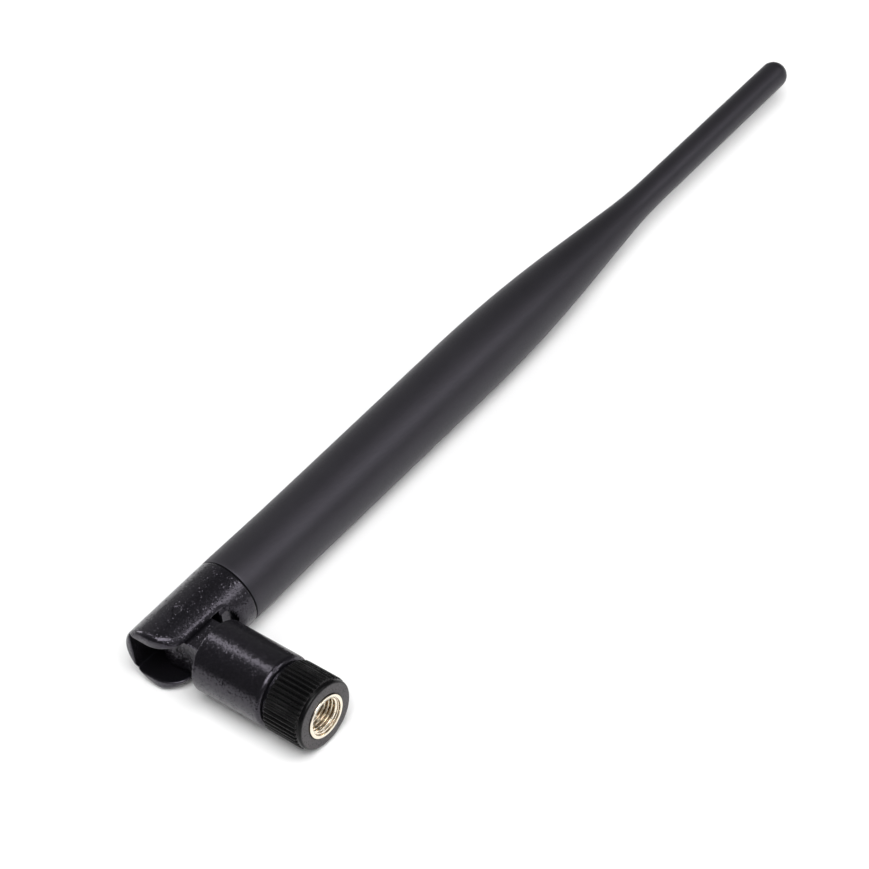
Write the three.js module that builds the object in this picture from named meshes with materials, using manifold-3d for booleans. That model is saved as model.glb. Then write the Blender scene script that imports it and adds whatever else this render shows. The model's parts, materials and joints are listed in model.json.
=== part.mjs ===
// An articulated 2.4 GHz omnidirectional whip antenna with a screw-on coaxial plug, folded to a right angle.
//
// Design frame, in millimetres: the elbow hinge is the Z axis, the connector points along +X and the whip
// along +Y. At the end the whole group is moved so that its origin lies under the middle of the object.

import * as THREE from "three";
import { mergeVertices } from "three/addons/utils/BufferGeometryUtils.js";
import Module from "manifold-3d";

// ---- driving dimensions -----------------------------------------------------------------------------

const SEAT_GAP = 0.05; // between pieces pressed or soldered together
const FIT_GAP = 0.1; // between small machined pieces that touch
const PLAY = 0.2; // between moulded pieces that move on each other

// Connector housing, a round moulded barrel with a flat tongue on its hinge end.
const HOUSING_RADIUS = 6.3;
const HOUSING_START = 7.55;
const HOUSING_END = 21.8;
const HOUSING_BACK_EDGE = 0.3;
const HOUSING_FRONT_EDGE = 0.7;
const HOUSING_NECK_RADIUS = 5.3;
const HOUSING_NECK_END = 22.2;
const TONGUE_HALF_WIDTH = 3.25;
const TONGUE_HALF_HEIGHT = 3.85;
const HUB_RADIUS = 3.4;
const TRUNNION_RADIUS = 1.4;
const TRUNNION_REACH = 4.9;
const CABLE_SLOT_HALF_HEIGHT = 1.25;
const CABLE_SLOT_END = 2.3;
const CABLE_BORE_RADIUS = 1.4;

// Knuckle, the forked end of the whip that the tongue turns in.
const KNUCKLE_RADIUS = 6.25;
const FORK_END = -7.2;
const FORK_EDGE = 1.0;
const FORK_CORNER_RADIUS = 5.4;
const FORK_SIDE = 4.75; // half width of the two cheeks
const FORK_HALF_GAP = 4.05;
const FORK_BACK = -4.5;
const FORK_ROOT = 5.8;
const PIVOT_HOLE_REACH = TRUNNION_REACH + 0.15;
const POCKET_RADIUS = 5.85; // hollow behind the root of the fork, inside a thin rim
const POCKET_END = 8.2;
const STOP_RIB = [4.35, 4.85]; // across the root of the fork, where the folded tongue comes to rest
const STOP_RIB_HEIGHT = 1.25;
const GATE_MARK_RADIUS = 0.75;
const GATE_MARK_DEPTH = 0.15;
const SEAM = 11.0;
const SPIGOT_RADIUS = 4.9;
const SPIGOT_END = 20;
const SPIGOT_CHAMFER = 0.4;

// Radome, the long hollow cover of the whip.
const RADOME_MOUTH_RADIUS = 6.25;
const RADOME_WAIST_RADIUS = 6.1;
const RADOME_BODY_RADIUS = 6.17;
const RADOME_ROD_RADIUS = 2.64;
const RADOME_TIP_RADIUS = 2.56;
const RADOME_WALL = 1.4;
const WAIST_AT = 28;
const NECK_START = 73;
const NECK_END = 130;
const NECK_SOFT_START = 30; // length over which the neck's slope sets in
const NECK_SOFT_END = 11; // and over which it dies away
const TIP_CENTRE = 168.4;
const ROD_BORE_RADIUS = 1.25;
const ROD_BORE_END = 162;
const SEAT_END = SPIGOT_END + 0.6;
const OUTSIDE_STEP = 4.5; // along the neck, between the rings of points of the outer skin
const BORE_STEP = 7.5; // and of the bore

// Coupling nut: a threaded insert (1/4-36 UNS) inside a moulded grip.
const THREAD_MAJOR_RADIUS = 3.175;
const THREAD_MINOR_RADIUS = 2.85;
const THREAD_PITCH = 25.4 / 36;
const THREAD_FLANK = 0.44; // shares of the pitch at which a groove's flank ends
const THREAD_FLAT = 0.12; // and that the flat bottom of the groove takes
const GRIP_START = 22.5;
const KNURL_END = 29.15;
const GRIP_FACE = 30.1;
const GRIP_RADIUS = 6.25;
const GRIP_RING_RADIUS = 6;
const GRIP_EDGE = 0.3;
const RIB_COUNT = 44;
const RIB_DEPTH = 0.3;
const RIB_SHOULDER = 0.24; // share of a rib's pitch from its groove to the shoulder of its crest
const CREST_RISE = 0.1; // from the shoulder to the middle of the crest
const INSERT_RADIUS = 3.85;
const INSERT_START = 22.9;
const INSERT_FACE = 30.35;
const LIP_RADIUS = 2.55;
const LIP_END = 23.5;
const RELIEF_RADIUS = 3.0; // behind the thread, over the retaining ring
const THREAD_START = 24.9;
const MOUTH_CHAMFER = 0.6;
const MOUTH_FLARE = 0.28;
const RIM_CHAMFER = 0.1;

// Plug body and what it holds.
const BARREL_RADIUS = 3.05;
const BARREL_START = 15.7;
const BARREL_END = 22.75;
const TAIL_START = 12.4;
const TAIL_RADIUS = 0.8;
const TAIL_BORE = 0.5;
const BARREL_FLOOR = 0.8;
const CONTACT_SHOULDER = BARREL_START + 1.2;
const NECK_RADIUS = 2.4;
const RING_GROOVE = [23.65, 24.2];
const RING_GROOVE_RADIUS = 2.3;
const RING_RADIUS = 2.85;
const RING_SPLIT = 0.35;
const GASKET = [24.8, 25.25];
const GASKET_RADIUS = 2.75;
const SLEEVE_RADIUS = 2.29;
const SLEEVE_BORE = 2.09;
const SLEEVE_START = 24.7;
const REFERENCE_PLANE = 25.6;
const CONTACT_RADIUS = 0.64;
const CONTACT_BORE = 0.47;
const CONTACT_FRONT = REFERENCE_PLANE - 0.15;
const CONTACT_BORE_END = CONTACT_FRONT - 2.5;
const CONTACT_TAIL_RADIUS = 0.4;
const CONTACT_SLOT = [1.8, 0.08]; // depth and half width

// Coaxial cable, 1.8 mm over its jacket.
const JACKET_RADIUS = 0.9;
const CORE_RADIUS = 0.42;
const ELBOW_REACH = 4.5;
const ELBOW_BEND = 3.5;
const CORE_BARED = 12.2;
const CORE_END = 15.6;
const FERRULE = [11.6, 15.5];
const FERRULE_RADIUS = 1.28;
const FERRULE_BORE = 1.0;

// Radiator parts inside the radome.
const BALUN_START = 23;
const BALUN_END = 50;
const BALUN_RADIUS = 3.0;
const BALUN_BORE = 2.6;
const BALUN_CAP = 0.5;
const SOLDER_RADIUS = 1.9;
const SOLDER_HEIGHT = 0.75;
const TUBE_START = 52.5;
const TUBE_END = 80;
const TUBE_RADIUS = 1.2;
const WIRE_RADIUS = 0.4;
const COIL_START = 84;
const COIL_END = 93;
const COIL_RADIUS = 2.3;
const COIL_TURNS = 4;
const COIL_LEAD = 2.8; // from a turn of the coil to where its wire is back on the centre line
const FORMER_INSET = 0.8;
const FORMER_RADIUS = 1.65;
const WIRE_START = TUBE_END - 2; // inside the lower radiator
const WIRE_END = 160;
const SHRINK_START = BALUN_END - 3;
const SHRINK_TAPER = 2.3; // from the sleeve's radius down to the tube's
const SHRINK_END = BALUN_END + 6;
const SHRINK_WALL = 0.25;
const LOWER_FOAM = [30, 38];
const UPPER_FOAM = [62, 68];
const CORE_AT_FEED = [BALUN_END + 1, TUBE_START + 1.5]; // bared core between the cable and the radiator

const ROUND = 40; // sides of a full-size round piece
const SMALL_ROUND = 24; // sides of a small round piece
const CABLE_SIDES = 12;

// ---- materials --------------------------------------------------------------------------------------

const looks = {
  grainedPlastic: { color: 0x2b2a2f, roughness: 0.55, metalness: 0 },
  mattePlastic: { color: 0x252528, roughness: 0.62, metalness: 0 },
  glossPlastic: { color: 0x19191b, roughness: 0.35, metalness: 0 },
  nickel: { color: 0xc9bda5, roughness: 0.25, metalness: 1 },
  brass: { color: 0xc79a4b, roughness: 0.35, metalness: 1 },
  gold: { color: 0xd9aa4c, roughness: 0.25, metalness: 1 },
  copper: { color: 0xb86b3f, roughness: 0.35, metalness: 1 },
  solder: { color: 0xa9abad, roughness: 0.4, metalness: 1 },
  spring: { color: 0x8f9093, roughness: 0.35, metalness: 1 },
  fluoroplastic: { color: 0xf1efe8, roughness: 0.5, metalness: 0 },
  jacket: { color: 0x6d5a4a, roughness: 0.45, metalness: 0 },
  silicone: { color: 0xb4472f, roughness: 0.6, metalness: 0 },
  shrinkTube: { color: 0x1b1b1d, roughness: 0.6, metalness: 0 },
  foam: { color: 0xe7e7e2, roughness: 0.95, metalness: 0 },
};

// ---- solids -----------------------------------------------------------------------------------------

const wasm = await Module();
wasm.setup();

// A closed geometry as a solid for joining and cutting, whichever way its faces were wound.
function solid(geometry) {
  const bare = geometry.clone();
  bare.deleteAttribute("normal");
  bare.deleteAttribute("uv");
  const merged = mergeVertices(bare, 1e-3);
  const index = new Uint32Array(merged.index.array);
  const vertProperties = merged.attributes.position.array;
  const made = new wasm.Manifold(new wasm.Mesh({ numProp: 3, vertProperties, triVerts: index }));
  if (made.volume() > 0) return made;
  return new wasm.Manifold(new wasm.Mesh({ numProp: 3, vertProperties, triVerts: index.reverse() }));
}

// A named mesh from a solid.
function piece(name, shape, look) {
  const made = shape.getMesh();
  const geometry = new THREE.BufferGeometry();
  geometry.setAttribute("position", new THREE.BufferAttribute(new Float32Array(made.vertProperties), 3));
  geometry.setIndex(new THREE.BufferAttribute(new Uint32Array(made.triVerts), 1));
  geometry.computeVertexNormals();
  const mesh = new THREE.Mesh(geometry, new THREE.MeshStandardMaterial(looks[look]));
  mesh.name = name;
  return mesh;
}

// A profile of [station, radius] pairs turned about the whip's axis, +Y.
function turnedAboutY(profile, sides = ROUND) {
  const points = profile.map(([station, radius]) => new THREE.Vector2(radius, station));
  return solid(new THREE.LatheGeometry(points, sides));
}

// The same about the connector's axis, +X.
function turnedAboutX(profile, sides = ROUND) {
  const points = profile.map(([station, radius]) => new THREE.Vector2(radius, station));
  return solid(new THREE.LatheGeometry(points, sides).rotateZ(-Math.PI / 2));
}

// A straight rod, and a tube with a bore, as profiles to turn.
function rod(start, end, radius) {
  return [
    [start, 0],
    [start, radius],
    [end, radius],
    [end, 0],
  ];
}

function tube(start, end, outer, inner) {
  return [
    [start, inner],
    [start, outer],
    [end, outer],
    [end, inner],
    [start, inner],
  ];
}

// Points of a quarter-round edge from angle a to angle b, as [station, radius] pairs.
function roundEdge(station, radius, edge, a, b, steps = 4) {
  const points = [];
  for (let i = 0; i <= steps; i++) {
    const t = THREE.MathUtils.degToRad(a + ((b - a) * i) / steps);
    points.push([station + edge * Math.cos(t), radius + edge * Math.sin(t)]);
  }
  return points;
}

// A block between two corners.
function block(low, high) {
  const size = high.map((value, i) => value - low[i]);
  const geometry = new THREE.BoxGeometry(...size);
  geometry.translate(...low.map((value, i) => value + size[i] / 2));
  return solid(geometry);
}

// A round post standing along Z on the hinge axis.
function post(radius, low, high, sides = ROUND) {
  const geometry = new THREE.CylinderGeometry(radius, radius, high - low, sides);
  geometry.rotateX(Math.PI / 2).translate(0, 0, (low + high) / 2);
  return solid(geometry);
}

// An outline in the hinge plane, raised from z = low to z = high.
function raised(shape, low, high, curveSegments = 12) {
  const geometry = new THREE.ExtrudeGeometry(shape, {
    depth: high - low,
    bevelEnabled: false,
    curveSegments,
  });
  return solid(geometry.translate(0, 0, low));
}

// A round cable or wire that follows a path.
function bentRod(path, radius, sides, steps) {
  const section = new THREE.Shape();
  for (let i = 0; i < sides; i++) {
    const t = (2 * Math.PI * i) / sides;
    const x = radius * Math.cos(t);
    const y = radius * Math.sin(t);
    if (i === 0) section.moveTo(x, y);
    else section.lineTo(x, y);
  }
  return solid(new THREE.ExtrudeGeometry(section, { extrudePath: path, steps, bevelEnabled: false }));
}

// ---- connector side ---------------------------------------------------------------------------------

function connectorHousing() {
  const barrel = turnedAboutX([
    [HOUSING_START, 0],
    ...roundEdge(
      HOUSING_START + HOUSING_BACK_EDGE,
      HOUSING_RADIUS - HOUSING_BACK_EDGE,
      HOUSING_BACK_EDGE,
      180,
      90,
    ),
    ...roundEdge(
      HOUSING_END - HOUSING_FRONT_EDGE,
      HOUSING_RADIUS - HOUSING_FRONT_EDGE,
      HOUSING_FRONT_EDGE,
      90,
      0,
    ),
    [HOUSING_END, HOUSING_NECK_RADIUS],
    [HOUSING_NECK_END, HOUSING_NECK_RADIUS],
    [HOUSING_NECK_END, 0],
  ]);
  const tongue = block(
    [0, -TONGUE_HALF_WIDTH, -TONGUE_HALF_HEIGHT],
    [HOUSING_START + 1, TONGUE_HALF_WIDTH, TONGUE_HALF_HEIGHT],
  );
  const hub = post(HUB_RADIUS, -TONGUE_HALF_HEIGHT, TONGUE_HALF_HEIGHT);
  const trunnions = post(TRUNNION_RADIUS, -TRUNNION_REACH, TRUNNION_REACH, SMALL_ROUND);
  const cableBore = turnedAboutX(rod(0.5, BARREL_START, CABLE_BORE_RADIUS), SMALL_ROUND);
  const plugSeat = turnedAboutX(rod(BARREL_START - FIT_GAP, HOUSING_NECK_END + 1, BARREL_RADIUS + FIT_GAP));
  const cableSlot = block(
    [-HUB_RADIUS - 1, -CABLE_SLOT_HALF_HEIGHT, -CABLE_SLOT_HALF_HEIGHT],
    [CABLE_SLOT_END, HUB_RADIUS + 1, CABLE_SLOT_HALF_HEIGHT],
  );
  return barrel
    .add(tongue)
    .add(hub)
    .add(trunnions)
    .subtract(cableBore)
    .subtract(plugSeat)
    .subtract(cableSlot);
}

function plugBody() {
  return turnedAboutX(
    [
      [TAIL_START, TAIL_BORE],
      [TAIL_START, TAIL_RADIUS],
      [BARREL_START, TAIL_RADIUS],
      [BARREL_START, BARREL_RADIUS],
      [BARREL_END, BARREL_RADIUS],
      [BARREL_END, NECK_RADIUS],
      [RING_GROOVE[0], NECK_RADIUS],
      [RING_GROOVE[0], RING_GROOVE_RADIUS],
      [RING_GROOVE[1], RING_GROOVE_RADIUS],
      [RING_GROOVE[1], NECK_RADIUS],
      [SLEEVE_START, NECK_RADIUS],
      [SLEEVE_START, SLEEVE_RADIUS],
      [REFERENCE_PLANE - RIM_CHAMFER, SLEEVE_RADIUS],
      [REFERENCE_PLANE, SLEEVE_RADIUS - RIM_CHAMFER],
      [REFERENCE_PLANE, SLEEVE_BORE],
      [BARREL_START + BARREL_FLOOR, SLEEVE_BORE],
      [BARREL_START + BARREL_FLOOR, TAIL_BORE],
      [TAIL_START, TAIL_BORE],
    ],
    ROUND,
  );
}

function plugDielectric() {
  const start = BARREL_START + BARREL_FLOOR + FIT_GAP;
  const bore = CONTACT_RADIUS + FIT_GAP;
  return turnedAboutX(tube(start, REFERENCE_PLANE - SEAT_GAP, SLEEVE_BORE - SEAT_GAP, bore), SMALL_ROUND);
}

// A socket contact with two spring slots across its mouth.
function centreContact() {
  const body = turnedAboutX(
    [
      [BARREL_START, 0],
      [BARREL_START, CONTACT_TAIL_RADIUS],
      [CONTACT_SHOULDER, CONTACT_TAIL_RADIUS],
      [CONTACT_SHOULDER, CONTACT_RADIUS],
      [CONTACT_FRONT, CONTACT_RADIUS],
      [CONTACT_FRONT, CONTACT_BORE],
      [CONTACT_BORE_END, CONTACT_BORE],
      [CONTACT_BORE_END - RIM_CHAMFER, 0],
    ],
    SMALL_ROUND,
  );
  const [depth, halfWidth] = CONTACT_SLOT;
  const slot = block([CONTACT_FRONT - depth, -1, -halfWidth], [CONTACT_FRONT + 1, 1, halfWidth]);
  return body.subtract(slot);
}

// A ring that is split so that it can be sprung over the plug body.
function retainingRing() {
  const [start, end] = RING_GROOVE;
  const bore = RING_GROOVE_RADIUS + FIT_GAP;
  const ring = turnedAboutX(tube(start + FIT_GAP, end - FIT_GAP, RING_RADIUS, bore), ROUND);
  return ring.subtract(block([start, -RING_SPLIT, bore - 1], [end, RING_SPLIT, RING_RADIUS + 1]));
}

function sealingGasket() {
  return turnedAboutX(tube(...GASKET, GASKET_RADIUS, SLEEVE_RADIUS + SEAT_GAP), ROUND);
}

function crimpFerrule() {
  return turnedAboutX(tube(...FERRULE, FERRULE_RADIUS, FERRULE_BORE), SMALL_ROUND);
}

function nutInsert() {
  const grooves = [];
  const lastGroove = INSERT_FACE - MOUTH_CHAMFER - THREAD_PITCH;
  for (let at = THREAD_START + RIM_CHAMFER; at < lastGroove; at += THREAD_PITCH) {
    grooves.push([at, THREAD_MINOR_RADIUS]);
    grooves.push([at + THREAD_PITCH * THREAD_FLANK, THREAD_MAJOR_RADIUS]);
    grooves.push([at + THREAD_PITCH * (THREAD_FLANK + THREAD_FLAT), THREAD_MAJOR_RADIUS]);
  }
  const bore = [
    [INSERT_START, LIP_RADIUS],
    [LIP_END, LIP_RADIUS],
    [LIP_END, RELIEF_RADIUS],
    [THREAD_START - RIM_CHAMFER, RELIEF_RADIUS],
    [THREAD_START, THREAD_MINOR_RADIUS],
    ...grooves,
    [INSERT_FACE - MOUTH_CHAMFER, THREAD_MINOR_RADIUS],
    [INSERT_FACE, THREAD_MAJOR_RADIUS + MOUTH_FLARE],
  ];
  const outside = [
    [INSERT_FACE, INSERT_RADIUS - RIM_CHAMFER],
    [INSERT_FACE - RIM_CHAMFER, INSERT_RADIUS],
    [INSERT_START, INSERT_RADIUS],
  ];
  return turnedAboutX([...outside, ...bore, outside[0]], ROUND);
}

// The ribbed cover of the nut: straight ribs with round crests and narrow grooves between them.
function nutGrip() {
  const outline = new THREE.Shape();
  const across = [
    [0, -RIB_DEPTH],
    [RIB_SHOULDER, -CREST_RISE],
    [0.5, 0],
    [1 - RIB_SHOULDER, -CREST_RISE],
  ];
  for (let rib = 0; rib < RIB_COUNT; rib++) {
    across.forEach(([share, height], i) => {
      const t = (2 * Math.PI * (rib + share)) / RIB_COUNT;
      const r = GRIP_RADIUS + height;
      if (rib === 0 && i === 0) outline.moveTo(r * Math.cos(t), r * Math.sin(t));
      else outline.lineTo(r * Math.cos(t), r * Math.sin(t));
    });
  }
  const knurl = new THREE.ExtrudeGeometry(outline, { depth: KNURL_END - GRIP_START, bevelEnabled: false });
  const ribbed = solid(knurl.rotateY(Math.PI / 2).translate(GRIP_START, 0, 0));
  const ring = turnedAboutX([
    [KNURL_END - 1, 0],
    [KNURL_END - 1, GRIP_RING_RADIUS - 0.4],
    [KNURL_END, GRIP_RING_RADIUS],
    ...roundEdge(GRIP_FACE - GRIP_EDGE, GRIP_RING_RADIUS - GRIP_EDGE, GRIP_EDGE, 90, 0),
    [GRIP_FACE, 0],
  ]);
  const bore = turnedAboutX(rod(GRIP_START - 1, GRIP_FACE + 1, INSERT_RADIUS + FIT_GAP));
  return ribbed.add(ring).subtract(bore);
}

// ---- whip side --------------------------------------------------------------------------------------

// The plan outline that rounds the free corner of the fork's two cheeks.
function forkPlan() {
  const far = KNUCKLE_RADIUS + 1;
  const plan = new THREE.Shape();
  plan.moveTo(-far, FORK_END - 1);
  plan.lineTo(FORK_SIDE - FORK_CORNER_RADIUS, FORK_END - 1);
  plan.lineTo(FORK_SIDE - FORK_CORNER_RADIUS, FORK_END);
  plan.absarc(
    FORK_SIDE - FORK_CORNER_RADIUS,
    FORK_END + FORK_CORNER_RADIUS,
    FORK_CORNER_RADIUS,
    -Math.PI / 2,
    0,
    false,
  );
  plan.lineTo(FORK_SIDE, FORK_ROOT);
  plan.lineTo(far, FORK_ROOT + far - FORK_SIDE);
  plan.lineTo(far, SPIGOT_END + 1);
  plan.lineTo(-far, SPIGOT_END + 1);
  plan.closePath();
  return plan;
}

function knuckle() {
  const turned = turnedAboutY([
    [FORK_END, 0],
    ...roundEdge(FORK_END + FORK_EDGE, KNUCKLE_RADIUS - FORK_EDGE, FORK_EDGE, 180, 90),
    [SEAM, KNUCKLE_RADIUS],
    [SEAM, SPIGOT_RADIUS],
    [SPIGOT_END - SPIGOT_CHAMFER, SPIGOT_RADIUS],
    [SPIGOT_END, SPIGOT_RADIUS - SPIGOT_CHAMFER],
    [SPIGOT_END, 0],
  ]);
  const far = KNUCKLE_RADIUS + 2;
  const slot = block([FORK_BACK, FORK_END - 1, -FORK_HALF_GAP], [far, FORK_ROOT, FORK_HALF_GAP]);
  const pocket = turnedAboutY(rod(FORK_ROOT - 1, POCKET_END, POCKET_RADIUS)).intersect(
    block([FORK_SIDE, 0, -far], [far, far * 2, far]),
  );
  const pivotHoles = post(TRUNNION_RADIUS + PLAY, -PIVOT_HOLE_REACH, PIVOT_HOLE_REACH, SMALL_ROUND);
  const gateMark = post(GATE_MARK_RADIUS, KNUCKLE_RADIUS - GATE_MARK_DEPTH, KNUCKLE_RADIUS + 1, SMALL_ROUND);
  const cableBore = turnedAboutY(rod(FORK_ROOT - 1, SPIGOT_END + 1, CABLE_SLOT_HALF_HEIGHT), SMALL_ROUND);
  const stopRib = block(
    [STOP_RIB[0], FORK_ROOT - STOP_RIB_HEIGHT, -FORK_HALF_GAP - FIT_GAP],
    [STOP_RIB[1], FORK_ROOT + 1, FORK_HALF_GAP + FIT_GAP],
  );
  return turned
    .intersect(raised(forkPlan(), -far, far))
    .subtract(slot)
    .subtract(pocket)
    .add(stopRib.intersect(turned))
    .subtract(pivotHoles)
    .subtract(gateMark)
    .subtract(cableBore);
}

// How far down the neck has drawn in at a station, from 0 to 1: a long soft start, a straight cone
// and a short soft end.
function neckShare(station) {
  const slope = 1 / (NECK_END - NECK_START - NECK_SOFT_START / 2 - NECK_SOFT_END / 2);
  const on = station - NECK_START;
  const left = NECK_END - station;
  if (on < NECK_SOFT_START) return (slope * on * on) / (2 * NECK_SOFT_START);
  if (left < NECK_SOFT_END) return 1 - (slope * left * left) / (2 * NECK_SOFT_END);
  return slope * (on - NECK_SOFT_START / 2);
}

// Outer radius of the radome at a station: a slight waist, a long even body and a neck that runs out
// into a thin rod.
function radomeRadius(station) {
  const { smoothstep, lerp } = THREE.MathUtils;
  if (station < WAIST_AT) {
    return lerp(RADOME_MOUTH_RADIUS, RADOME_WAIST_RADIUS, smoothstep(station, SEAM, WAIST_AT));
  }
  if (station < NECK_START) {
    return lerp(RADOME_WAIST_RADIUS, RADOME_BODY_RADIUS, smoothstep(station, WAIST_AT, NECK_START));
  }
  if (station < NECK_END) return lerp(RADOME_BODY_RADIUS, RADOME_ROD_RADIUS, neckShare(station));
  const along = (station - NECK_END) / (TIP_CENTRE - NECK_END);
  return lerp(RADOME_ROD_RADIUS, RADOME_TIP_RADIUS, along);
}

function stations(from, to, step) {
  const count = Math.max(1, Math.round((to - from) / step));
  return Array.from({ length: count + 1 }, (_, i) => from + ((to - from) * i) / count);
}

function radome() {
  const mouth = SEAM + PLAY;
  const outside = [
    ...stations(mouth, WAIST_AT, BORE_STEP),
    ...stations(WAIST_AT, NECK_START, 3 * BORE_STEP).slice(1),
    ...stations(NECK_START, NECK_END, OUTSIDE_STEP).slice(1),
    TIP_CENTRE,
  ].map((station) => [station, radomeRadius(station)]);
  const tip = roundEdge(TIP_CENTRE, 0, RADOME_TIP_RADIUS, 90, 0, 6).slice(1);
  const boreRadius = (station) => Math.max(ROD_BORE_RADIUS, radomeRadius(station) - RADOME_WALL);
  const inside = [
    SEAT_END,
    ...stations(NECK_START, NECK_END, BORE_STEP),
  ].map((station) => [station, boreRadius(station)]);
  return turnedAboutY([
    ...outside,
    ...tip,
    [ROD_BORE_END + ROD_BORE_RADIUS, 0],
    [ROD_BORE_END, ROD_BORE_RADIUS],
    ...inside.reverse(),
    [SEAT_END, SPIGOT_RADIUS + FIT_GAP],
    [mouth, SPIGOT_RADIUS + FIT_GAP],
    outside[0],
  ]);
}

// The quarter-wave sleeve, open towards the plug and closed round the cable at the feed point.
function balunSleeve() {
  return turnedAboutY(
    [
      [BALUN_START, BALUN_BORE],
      [BALUN_START, BALUN_RADIUS],
      [BALUN_END, BALUN_RADIUS],
      [BALUN_END, JACKET_RADIUS + FIT_GAP],
      [BALUN_END - BALUN_CAP, JACKET_RADIUS + FIT_GAP],
      [BALUN_END - BALUN_CAP, BALUN_BORE],
      [BALUN_START, BALUN_BORE],
    ],
    SMALL_ROUND,
  );
}

// A fillet of solder between the end of the sleeve and the cable.
function balunSolder() {
  const foot = BALUN_END + SEAT_GAP;
  const bore = JACKET_RADIUS + SEAT_GAP;
  return turnedAboutY(
    [
      [foot, bore],
      [foot, SOLDER_RADIUS],
      [foot + SOLDER_HEIGHT / 3, (SOLDER_RADIUS + bore) / 2],
      [foot + SOLDER_HEIGHT, bore],
      [foot, bore],
    ],
    SMALL_ROUND,
  );
}

function lowerRadiator() {
  return turnedAboutY(tube(TUBE_START, TUBE_END, TUBE_RADIUS, CORE_RADIUS + FIT_GAP), SMALL_ROUND);
}

// One wire: out of the lower radiator, round the phasing coil, and up the thin end of the radome.
function radiatorWire() {
  const points = [new THREE.Vector3(0, WIRE_START, 0), new THREE.Vector3(0, COIL_START - COIL_LEAD, 0)];
  const perTurn = 10;
  const count = COIL_TURNS * perTurn;
  for (let i = 0; i <= count; i++) {
    const t = (2 * Math.PI * i) / perTurn;
    const y = COIL_START + ((COIL_END - COIL_START) * i) / count;
    points.push(new THREE.Vector3(COIL_RADIUS * Math.cos(t), y, COIL_RADIUS * Math.sin(t)));
  }
  points.push(new THREE.Vector3(0, COIL_END + COIL_LEAD, 0));
  points.push(new THREE.Vector3(0, COIL_END + 2 * COIL_LEAD, 0));
  points.push(new THREE.Vector3(0, (COIL_END + WIRE_END) / 2, 0));
  points.push(new THREE.Vector3(0, WIRE_END, 0));
  return bentRod(new THREE.CatmullRomCurve3(points, false, "centripetal"), WIRE_RADIUS, 6, 90);
}

function coilFormer() {
  return turnedAboutY(rod(COIL_START + FORMER_INSET, COIL_END - FORMER_INSET, FORMER_RADIUS), SMALL_ROUND);
}

function feedShrinkTube() {
  const over = BALUN_RADIUS + FIT_GAP;
  const under = TUBE_RADIUS + FIT_GAP;
  return turnedAboutY(
    [
      [SHRINK_START, over],
      [SHRINK_START, over + SHRINK_WALL],
      [BALUN_END + SHRINK_WALL, over + SHRINK_WALL],
      [BALUN_END + SHRINK_WALL + SHRINK_TAPER, under + SHRINK_WALL],
      [SHRINK_END, under + SHRINK_WALL],
      [SHRINK_END, under],
      [BALUN_END + 2 * SHRINK_WALL + SHRINK_TAPER, under],
      [BALUN_END + 2 * SHRINK_WALL, over],
      [SHRINK_START, over],
    ],
    SMALL_ROUND,
  );
}

function foamSpacer([start, end], bore) {
  const outer = Math.min(radomeRadius(start), radomeRadius(end)) - RADOME_WALL - FIT_GAP;
  return turnedAboutY(tube(start, end, outer, bore + FIT_GAP), SMALL_ROUND);
}

// ---- cable ------------------------------------------------------------------------------------------

// The bend of the cable at the hinge, from the housing's bore round into the knuckle's bore.
function cableElbow() {
  const path = new THREE.CurvePath();
  const bend = new THREE.Vector3(0, 0, 0);
  path.add(new THREE.LineCurve3(new THREE.Vector3(ELBOW_REACH, 0, 0), new THREE.Vector3(ELBOW_BEND, 0, 0)));
  path.add(
    new THREE.QuadraticBezierCurve3(
      new THREE.Vector3(ELBOW_BEND, 0, 0),
      bend,
      new THREE.Vector3(0, ELBOW_BEND, 0),
    ),
  );
  path.add(new THREE.LineCurve3(new THREE.Vector3(0, ELBOW_BEND, 0), new THREE.Vector3(0, ELBOW_REACH, 0)));
  const even = new THREE.CatmullRomCurve3(path.getSpacedPoints(14), false, "centripetal");
  return bentRod(even, JACKET_RADIUS, CABLE_SIDES, 16);
}

// ---- assembly ---------------------------------------------------------------------------------------

const connector = new THREE.Group();
connector.add(
  piece("base_housing", connectorHousing(), "grainedPlastic"),
  piece("plug_body", plugBody(), "nickel"),
  piece("plug_dielectric", plugDielectric(), "fluoroplastic"),
  piece("centre_contact", centreContact(), "gold"),
  piece("retaining_ring", retainingRing(), "spring"),
  piece("sealing_gasket", sealingGasket(), "silicone"),
  piece("crimp_ferrule", crimpFerrule(), "nickel"),
  piece(
    "coax_base_run",
    turnedAboutX(rod(ELBOW_REACH + FIT_GAP, CORE_BARED, JACKET_RADIUS), CABLE_SIDES),
    "jacket",
  ),
  piece(
    "coax_base_core",
    turnedAboutX(rod(CORE_BARED + FIT_GAP, CORE_END, CORE_RADIUS), CABLE_SIDES),
    "fluoroplastic",
  ),
);

const couplingNut = new THREE.Group();
couplingNut.add(
  piece("nut_insert", nutInsert(), "nickel"),
  piece("nut_grip", nutGrip(), "glossPlastic"),
);

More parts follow.
